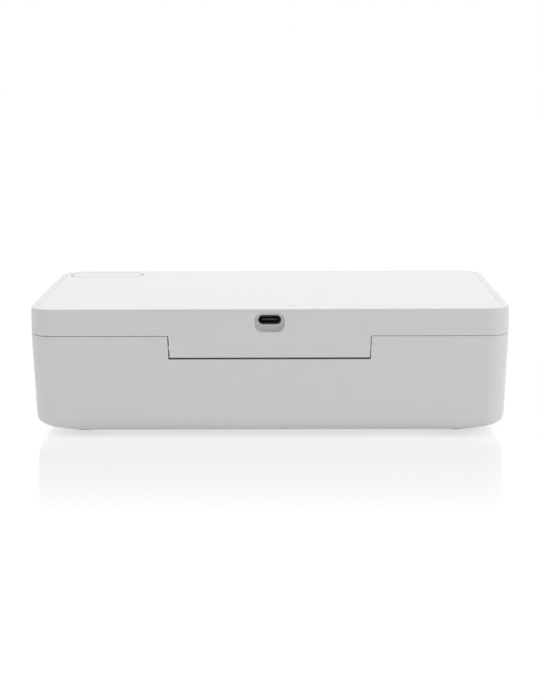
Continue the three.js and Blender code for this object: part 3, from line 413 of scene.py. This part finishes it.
LOOKS = {
    "shell": dict(light=(0.885, 0.882, 0.895), dark=(0.868, 0.865, 0.878), rough=(0.42, 0.04),
                  grain=0.28 * MM),
    # Painted shade: the shell's colour made darker and bluer for the faces deep in the socket's
    # hollow
    "recess": dict(light=(0.85, 0.85, 0.88), dark=(0.835, 0.835, 0.865), rough=(0.45, 0.04),
                   grain=0.28 * MM),
    "plate": dict(light=(0.9, 0.897, 0.91), dark=(0.886, 0.883, 0.896), rough=(0.36, 0.03),
                  grain=0.4 * MM, depth=0.004 * MM),
    "button": dict(light=(0.895, 0.892, 0.905), dark=(0.88, 0.877, 0.891), rough=(0.38, 0.03),
                   grain=0.4 * MM, depth=0.004 * MM),
    "liner": dict(light=(0.845, 0.855, 0.875), dark=(0.82, 0.83, 0.85), rough=(0.48, 0.05),
                  grain=0.35 * MM, depth=0.012 * MM, worn=(0.88, 0.89, 0.9)),
    "reflector": dict(light=(0.8, 0.81, 0.83), dark=(0.75, 0.76, 0.785), rough=(0.2, 0.03),
                      grain=1.6 * MM, depth=0.01 * MM, worn=(0.86, 0.87, 0.89), Metallic=1.0),
    "rubber": dict(light=(0.075, 0.075, 0.078), dark=(0.05, 0.05, 0.053), rough=(0.78, 0.07),
                   patch=5 * MM, grain=0.22 * MM, depth=0.03 * MM, worn=(0.12, 0.12, 0.122)),
    "steel": dict(light=(0.66, 0.67, 0.69), dark=(0.55, 0.56, 0.58), rough=(0.28, 0.08),
                  patch=2 * MM, grain=0.12 * MM, stretch=(1, 6, 1), worn=(0.8, 0.8, 0.82),
                  Metallic=1.0),
    "magnet": dict(light=(0.62, 0.63, 0.65), dark=(0.52, 0.53, 0.55), rough=(0.24, 0.06),
                   patch=2 * MM, grain=0.2 * MM, worn=(0.74, 0.74, 0.76), Metallic=1.0),
    "board": dict(light=(0.035, 0.17, 0.085), dark=(0.02, 0.11, 0.055), rough=(0.42, 0.08),
                  patch=3 * MM, grain=0.5 * MM, depth=0.02 * MM, worn=(0.4, 0.42, 0.3)),
    "lamp_board": dict(light=(0.84, 0.85, 0.85), dark=(0.78, 0.79, 0.79), rough=(0.4, 0.05),
                       patch=4 * MM, grain=0.4 * MM, worn=(0.6, 0.61, 0.63)),
    "chip": dict(light=(0.034, 0.034, 0.037), dark=(0.022, 0.022, 0.024), rough=(0.55, 0.08),
                 patch=1.5 * MM, grain=0.1 * MM, depth=0.008 * MM, worn=(0.07, 0.07, 0.075)),
    "ceramic": dict(light=(0.87, 0.83, 0.68), dark=(0.8, 0.75, 0.58), rough=(0.5, 0.06),
                    patch=1.5 * MM, grain=0.12 * MM, worn=(0.92, 0.9, 0.8)),
    "quartz": dict(light=(0.93, 0.95, 0.98), dark=(0.9, 0.93, 0.97), rough=(0.035, 0.02),
                   patch=3 * MM, grain=0.8 * MM, depth=0.001 * MM, Transmission_Weight=0.94,
                   IOR=1.46),
    "light_pipe": dict(light=(0.8, 0.805, 0.82), dark=(0.77, 0.775, 0.79), rough=(0.3, 0.05),
                       patch=2 * MM, grain=0.2 * MM, Transmission_Weight=0.06, IOR=1.49),
    "flex": dict(light=(0.62, 0.3, 0.07), dark=(0.5, 0.22, 0.045), rough=(0.35, 0.06),
                 patch=4 * MM, grain=0.5 * MM, worn=(0.7, 0.4, 0.12)),
    "plug_shell": dict(light=(0.05, 0.045, 0.042), dark=(0.034, 0.03, 0.028), rough=(0.5, 0.08),
                       patch=1.5 * MM, grain=0.1 * MM, worn=(0.09, 0.08, 0.075), Metallic=1.0),
    "die": dict(light=(0.5, 0.47, 0.56), dark=(0.42, 0.4, 0.48), rough=(0.25, 0.05),
                patch=0.5 * MM, grain=0.05 * MM, depth=0.002 * MM, worn=(0.75, 0.72, 0.6),
                Metallic=0.6),
    "contact": dict(light=(0.8, 0.6, 0.28), dark=(0.66, 0.48, 0.2), rough=(0.3, 0.06),
                    patch=1 * MM, grain=0.08 * MM, worn=(0.9, 0.75, 0.45), Metallic=1.0),
}
MATERIALS = {name: finish(name, **look) for name, look in LOOKS.items()}


# Shapes

def shade(work):
    for face in work.faces:
        face.smooth = True
    limit = math.radians(CREASE_DEG)
    for edge in work.edges:
        edge.smooth = edge.is_manifold and edge.calc_face_angle() < limit


def add_piece(name, work, body, material):
    shade(work)
    piece = bpy.data.objects.new(name, to_mesh(work))
    scene.collection.objects.link(piece)
    piece.data.materials.append(MATERIALS[material])
    normals = piece.modifiers.new("normals", "WEIGHTED_NORMAL")
    normals.keep_sharp = True
    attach(piece, body)
    return piece


def new_piece(node, work, material=None):
    """A piece that stands for a node"""
    slot = node_slot[node]
    piece = add_piece(node + "_form", work, node_body[node], material or slot)
    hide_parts(node)
    return piece


def ring(width, depth, radius, x=0.0, y=0.0, steps=CORNER_STEPS):
    """A rounded rectangle as points, counter-clockwise"""
    radius = min(radius, width / 2, depth / 2)
    reach_x = width / 2 - radius
    reach_y = depth / 2 - radius
    points = []
    for quarter, (side_x, side_y) in enumerate([(1, 1), (-1, 1), (-1, -1), (1, -1)]):
        for step in range(steps + 1):
            angle = (quarter + step / steps) * math.pi / 2
            points.append((
                x + side_x * reach_x + radius * math.cos(angle),
                y + side_y * reach_y + radius * math.sin(angle),
            ))
    return points


def loft(sections):
    """A closed solid through outlines stacked upwards, each (z, points)"""
    work = bmesh.new()
    rows = [[work.verts.new((x, y, z)) for x, y in points] for z, points in sections]
    count = len(rows[0])
    for low, high in zip(rows, rows[1:]):
        for i in range(count):
            after = (i + 1) % count
            work.faces.new((low[i], low[after], high[after], high[i]))
    work.faces.new(list(reversed(rows[0])))
    work.faces.new(rows[-1])
    bmesh.ops.remove_doubles(work, verts=work.verts, dist=WELD)
    return work


def quarter_steps():
    return [(step / EDGE_STEPS) * math.pi / 2 for step in range(EDGE_STEPS + 1)]


def turned(x, y, profile):
    """A closed solid turned about an upright line, from (radius, z) points along its outside"""
    return loft([(z, ring(2 * radius, 2 * radius, radius, x, y)) for radius, z in profile])


def slab(width, depth, radius, x, y, bottom, top, edge):
    """A slab with its upper edge rounded"""
    sections = [(bottom, ring(width, depth, radius, x, y))]
    for angle in quarter_steps():
        inset = edge * (1 - math.cos(angle))
        z = top - edge * (1 - math.sin(angle))
        sections.append((z, ring(width - 2 * inset, depth - 2 * inset, radius - inset, x, y)))
    return loft(sections)


def well(width, depth, radius, x, y, bottom, top, edge):
    """The cutter for a hole whose upper edge is rounded outwards"""
    sections = [(bottom - OVERRUN, ring(width, depth, radius, x, y))]
    for angle in quarter_steps():
        growth = edge * (1 - math.cos(angle))
        z = top - edge + edge * math.sin(angle)
        sections.append((z, ring(width + 2 * growth, depth + 2 * growth, radius + growth, x, y)))
    sections.append((top + OVERRUN, sections[-1][1]))
    return loft(sections)


def to_mesh(work):
    mesh = bpy.data.meshes.new("work")
    work.to_mesh(mesh)
    work.free()
    return mesh


def gathered(works):
    """Several solids in one mesh"""
    whole = bmesh.new()
    for work in works:
        mesh = to_mesh(work)
        whole.from_mesh(mesh)
        bpy.data.meshes.remove(mesh)
    return whole


def combined(work, others, operation="DIFFERENCE"):
    """Takes the others out of a solid, or joins them to it"""
    def as_object(source):
        made = bpy.data.objects.new("work", to_mesh(source))
        scene.collection.objects.link(made)
        return made
    body = as_object(work)
    tools = [as_object(other) for other in others]
    for tool in tools:
        step = body.modifiers.new("step", "BOOLEAN")
        step.operation = operation
        step.solver = "EXACT"
        step.object = tool
    depsgraph = bpy.context.evaluated_depsgraph_get()
    mesh = bpy.data.meshes.new_from_object(body.evaluated_get(depsgraph))
    result = bmesh.new()
    result.from_mesh(mesh)
    for spent in [body, *tools]:
        bpy.data.meshes.remove(spent.data)
    bpy.data.meshes.remove(mesh)
    return result


def refine_base(work):
    """Narrows the gap at the tongue's right side"""
    lowest = seam_z - TONGUE_DEPTH - NEAR
    for vert in work.verts:
        place = vert.co
        in_wall = place.y <= rear_y + SHELL_WALL + WELD and lowest < place.z < seam_z + WELD
        if in_wall and abs(place.x - TONGUE_HALF) < NEAR:
            place.x -= TONGUE_SIDE_CLOSED


def refine_lid(work):
    """Narrows the seam, most towards the right and at the corners, draws the tongue's foot up a
    little, and makes the top's outer edge crisp"""
    core_x = body_width / 2 - LID_TOP_LEAN - CORNER_RADIUS
    core_y = body_depth / 2 - LID_TOP_LEAN - CORNER_RADIUS
    share = TOP_EDGE / CAD_TOP_EDGE
    for vert in work.verts:
        place = vert.co
        if abs(place.z - seam_z - SEAM_GAP) < SAME:
            along = place.x / (body_width / 2)
            corner = max(0, abs(along) - SEAM_CORNER_SHARE) / (1 - SEAM_CORNER_SHARE)
            place.z -= SEAM_CLOSED + (max(0, along) + corner) * (SEAM_CLOSED_RIGHT - SEAM_CLOSED)
        if place.z < seam_z - TONGUE_DEPTH + SAME:
            place.z += TONGUE_FOOT_RAISED
        core = Vector((
            max(-core_x, min(core_x, place.x)), max(-core_y, min(core_y, place.y)), place.z,
        ))
        out = place - core
        inset = CORNER_RADIUS - out.length
        if place.z > top_z - CAD_TOP_EDGE - SAME and inset < CAD_TOP_EDGE + SAME:
            place.z = top_z - (top_z - place.z) * share
            place.xy = (core + out.normalized() * (CORNER_RADIUS - max(0, inset) * share)).xy


# The faces of the socket's hollow, which take the painted shade
def in_recess(face):
    place = face.calc_center_median()
    deep = rear_y + RECESS_START < place.y < rear_y + RECESS_DEPTH
    level = seam_z + RECESS_BOTTOM_RISE < place.z < top_z - NEAR
    return deep and level and abs(place.x) < RECESS_HALF


def creases_to_round(work, edge, long_only):
    """All creases, or in a large moulding the outer ones that run level for long and have room"""
    limit = math.radians(CREASE_DEG)
    creases = [e for e in work.edges if e.is_manifold and e.calc_face_angle() > limit]
    if not long_only:
        return creases
    least = BEVEL_ROOM * edge
    tight = {v for e in work.edges if e.calc_length() < least for v in e.verts}
    narrow = {f for f in work.faces if 2 * f.calc_area() / f.calc_perimeter() < least}
    runs = {}
    for crease in creases:
        low, high = sorted(vert.co.z for vert in crease.verts)
        if high - low < LEVEL and crease.calc_face_angle_signed() > 0 and high < top_z - NEAR:
            runs.setdefault(round(high / LEVEL_STEP), []).append(crease)
    return [
        crease for run in runs.values() if sum(e.calc_length() for e in run) > LONG_RUN
        for crease in run if not tight & set(crease.verts) and not narrow & set(crease.link_faces)
    ]


def dressed(name, edge=FINE_EDGE, refine=None):
    """The CAD node's own form with its creases rounded"""
    work = bmesh.new()
    work.from_mesh(nodes[name].data)
    bmesh.ops.remove_doubles(work, verts=work.verts, dist=WELD)
    if refine:
        refine(work)
    bmesh.ops.dissolve_limit(
        work, angle_limit=math.radians(FLAT_DEG), verts=work.verts, edges=work.edges,
    )
    creases = creases_to_round(work, edge, name in LARGE_MOULDINGS)
    bmesh.ops.bevel(
        work, geom=creases, offset=edge, segments=BEVEL_SEGMENTS, profile=BEVEL_PROFILE,
        affect="EDGES", clamp_overlap=True,
    )
    return work


# Pieces

def corners(node):
    """A node's lowest and highest corners, its middle and its size"""
    low, high = (Vector(corner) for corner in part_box(node))
    return low, high, (low + high) / 2, high - low


def edge_up(radius, top, edge=FINE_EDGE):
    """Profile points round an outer upper edge"""
    return [
        (radius - edge * (1 - math.cos(angle)), top - edge * (1 - math.sin(angle)))
        for angle in quarter_steps()
    ]


def edge_down(radius, bottom, edge=FINE_EDGE):
    """Profile points round an outer lower edge"""
    return [
        (radius - edge * (1 - math.sin(angle)), bottom + edge * (1 - math.cos(angle)))
        for angle in quarter_steps()
    ]


def make_base_shell():
    new_piece("base_shell", dressed("base_shell", SEAM_EDGE, refine_base))


def make_lid_shell():
    """The lid's shell. Its faces in the socket's hollow take painted shade: a darker, bluer copy
    of the shell's colour.
    """
    work = dressed("lid_shell", SEAM_EDGE, refine_lid)
    for face in work.faces:
        face.material_index = int(in_recess(face))
    new_piece("lid_shell", work).data.materials.append(MATERIALS["recess"])


def make_top_plate():
    """The plate let into the lid, with the holes for the button and the indicator"""
    low, _, _, size = corners("top_plate")
    grown = 2 * (CAD_GAP - PLATE_GAP)
    radius = CORNER_RADIUS - RIM_WIDTH - PLATE_GAP
    sheet = slab(size.x + grown, size.y + grown, radius, 0, 0, low.z, top_z, SHARP_EDGE)
    wells = []
    for node, flange, gap, edge in (
        ("start_button", BUTTON_FLANGE, CAD_GAP + BUTTON_HOLE_GROWN, BUTTON_EDGE),
        ("indicator_pipe", PIPE_FLANGE, PIPE_GAP, PIPE_GAP),
    ):
        low, _, middle, size = corners(node)
        width = size.x - 2 * (flange - gap)
        depth = size.y - 2 * (flange - gap)
        wells.append(well(width, depth, depth, middle.x, middle.y, low.z, top_z, edge))
    new_piece("top_plate", combined(sheet, wells))


def flange_top():
    """Where the flanges of the button and the indicator end, under the plate"""
    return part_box("top_plate")[0][2] - 2 * SEAT_GAP


def make_button():
    """A cap with a flange round its foot, hollow below, on a stem that meets the switch"""
    low, high, middle, size = corners("start_button")
    bottom = flange_top() - BUTTON_FLANGE_THICKNESS

    def outline(inset):
        return ring(size.x - 2 * inset, size.y - 2 * inset, size.y, middle.x, middle.y)

    side = BUTTON_FLANGE + BUTTON_DRAWN_IN
    hollow = BUTTON_FLANGE + BUTTON_WALL
    ceiling = high.z - BUTTON_WALL
    cap = loft([
        (ceiling, outline(hollow)),
        (bottom, outline(hollow)),
        (bottom, outline(0)),
        (flange_top(), outline(0)),
        (flange_top(), outline(side)),
        *[(z, outline(size.x / 2 - reach))
          for reach, z in edge_up(size.x / 2 - side, high.z, BUTTON_EDGE)],
    ])
    stem_top = (ceiling + high.z) / 2
    radius = BUTTON_STEM_DIAMETER / 2
    stem = turned(middle.x, middle.y, [*edge_down(radius, low.z), (radius, stem_top)])
    new_piece("start_button", combined(cap, [stem], "UNION"))


def make_indicator():
    """A round light pipe with a flange under the plate"""
    low, high, middle, size = corners("indicator_pipe")
    radius = size.x / 2 - PIPE_FLANGE
    top = flange_top()
    new_piece("indicator_pipe", turned(middle.x, middle.y, [
        *edge_down(radius, low.z),
        (radius, top - PIPE_FLANGE_THICKNESS),
        *edge_down(size.x / 2, top - PIPE_FLANGE_THICKNESS),
        *edge_up(size.x / 2, top),
        (radius, top),
        *edge_up(radius, high.z, PIPE_GAP),
    ]))


def make_foot(node):
    """A moulded foot with a dished middle and fine grip rings"""
    low, high, middle, size = corners(node)
    profile = [
        (FOOT_DISH_RADIUS - FOOT_DISH_DEPTH, low.z + FOOT_DISH_DEPTH),
        (FOOT_DISH_RADIUS, low.z),
    ]
    for groove in FOOT_GROOVES:
        profile += [
            (groove - FOOT_GROOVE_WIDTH / 2, low.z),
            (groove, low.z + FOOT_GROOVE_DEPTH),
            (groove + FOOT_GROOVE_WIDTH / 2, low.z),
        ]
    profile += [*edge_down(size.x / 2, low.z, FOOT_EDGE), *edge_up(size.x / 2, high.z)]
    new_piece(node, turned(middle.x, middle.y, profile))


def make_screw(node):
    """A domed head that faces down, with a tapered cross in it, on a plain shank"""
    kind = node.split("_")[0]
    low, high, middle, size = corners(node)
    head = size.x / 2
    shank = SCREW_SHANK_DIAMETER[kind] / 2
    seat = low.z + SCREW_HEAD_HEIGHT[kind]
    dome = SCREW_HEAD_HEIGHT[kind] * SCREW_DOME_SHARE
    profile = [
        (head * math.sin(angle), low.z + dome * (1 - math.cos(angle)))
        for angle in quarter_steps()[1:]
    ]
    tip = shank * SCREW_TIP_SHARE
    profile += [*edge_up(head, seat), (shank, seat), *edge_up(shank, high.z, tip)]
    slot_bottom = low.z + SCREW_SLOT_DEPTH

    def outline(half_x, half_y, inset):
        return ring(
            2 * (half_x - inset), 2 * (half_y - inset), SCREW_SLOT_CORNER, middle.x, middle.y,
            FEW_STEPS,
        )

    arm, half = head * SCREW_SLOT_SHARE, SCREW_SLOT_WIDTH / 2
    slots = [
        loft([
            (low.z - OVERRUN, outline(half_x, half_y, 0)),
            (low.z, outline(half_x, half_y, 0)),
            (slot_bottom, outline(half_x, half_y, SCREW_SLOT_TAPER)),
        ])
        for half_x, half_y in ((arm, half), (half, arm))
    ]
    new_piece(node, combined(turned(middle.x, middle.y, profile), slots))


def laid_back(work, middle_z):
    """Turns a form that is stacked upwards so that it runs inwards along Y"""
    turn = Matrix(((1, 0, 0, 0), (0, 0, 1, 0), (0, -1, 0, middle_z), (0, 0, 0, 1)))
    bmesh.ops.transform(work, matrix=turn, verts=work.verts)
    return work


def make_socket():
    """The metal tube, the insert with the contact tongue, and the contacts on both its faces"""
    low, high, middle, size = corners("socket_shell")
    back = high.y - SOCKET_WALL

    def tube(inset):
        return ring(size.x - 2 * inset, size.z - 2 * inset, size.z)

    shell = loft([
        (back, tube(SOCKET_WALL)),
        (low.y + SHARP_EDGE, tube(SOCKET_WALL)),
        (low.y, tube(SOCKET_WALL - SHARP_EDGE)),
        (low.y, tube(SHARP_EDGE)),
        (low.y + SHARP_EDGE, tube(0)),
        (high.y, tube(0)),
    ])
    new_piece("socket_shell", laid_back(shell, middle.z), "plug_shell")

    low, high, middle, size = corners("socket_insert")
    root = low.y + BLADE_LENGTH

    def blade(inset):
        return ring(BLADE_WIDTH - 2 * inset, BLADE_HEIGHT - 2 * inset, BLADE_CORNER)

    insert = loft([
        (low.y, blade(FINE_EDGE)), (low.y + FINE_EDGE, blade(0)), (root, blade(0)),
        (root, ring(size.x, size.z, size.z)), (high.y, ring(size.x, size.z, size.z)),
    ])
    new_piece("socket_insert", laid_back(insert, middle.z))

    contacts = []
    start = low.y + CONTACT_START
    for side in (-1, 1):
        for index in range(CONTACT_COUNT):
            x = (index - (CONTACT_COUNT - 1) / 2) * CONTACT_PITCH
            y = side * BLADE_HEIGHT / 2
            strip = ring(CONTACT_WIDTH, 2 * CONTACT_RISE, CONTACT_CORNER, x, y, FEW_STEPS)
            contacts.append(loft([(start, strip), (start + CONTACT_LENGTH, strip)]))
    add_piece("socket_contacts", laid_back(gathered(contacts), middle.z), "lid", "contact")


def make_lamp(index):
    """A ceramic package with a round well that faces down, and the chip in it"""
    node = f"uv_led_{index}"
    low, high, middle, size = corners(node)
    floor = low.z + LAMP_WELL_DEPTH
    rim = LAMP_WELL_DIAMETER
    foot = rim - 2 * LAMP_WELL_TAPER

    def outline(inset):
        corner = size.x * LAMP_CORNER_SHARE
        return ring(size.x - 2 * inset, size.y - 2 * inset, corner, middle.x, middle.y)

    new_piece(node, loft([
        (floor, ring(foot, foot, foot, middle.x, middle.y)),
        (low.z, ring(rim, rim, rim, middle.x, middle.y)),
        (low.z, outline(SHARP_EDGE)),
        (low.z + SHARP_EDGE, outline(0)),
        (high.z, outline(0)),
    ]))
    die = ring(DIE_SIZE, DIE_SIZE, DIE_CORNER, middle.x, middle.y, FEW_STEPS)
    add_piece(
        f"lamp_die_{index}", loft([(floor - DIE_HEIGHT, die), (floor + DIE_HEIGHT, die)]),
        "lid", "die",
    )


def make_window(node):
    """A round pane with chamfered edges"""
    low, high, middle, size = corners(node)
    radius = size.x / 2
    new_piece(node, turned(middle.x, middle.y, [
        (radius - WINDOW_CHAMFER, low.z), (radius, low.z + WINDOW_CHAMFER),
        (radius, high.z - WINDOW_CHAMFER), (radius - WINDOW_CHAMFER, high.z),
    ]))


# The scene

make_camera()
make_world()
for name, settings in LAMPS.items():
    area_lamp(name, **settings)
make_floor()
for name, node in nodes.items():
    node.data.materials.clear()
    node.data.materials.append(MATERIALS[node_slot[name]])

make_top_plate()
make_button()
make_indicator()
make_socket()
for index in range(1, LAMP_COUNT + 1):
    make_lamp(index)
for name in nodes:
    if name + "_form" in bpy.data.objects:
        continue
    if name.startswith("foot_"):
        make_foot(name)
    elif "_screw_" in name:
        make_screw(name)
    elif name.startswith("lamp_window_"):
        make_window(name)
    elif name == "base_shell":
        make_base_shell()
    elif name == "lid_shell":
        make_lid_shell()
    else:
        new_piece(name, dressed(name))

scene.view_settings.view_transform = "Standard"
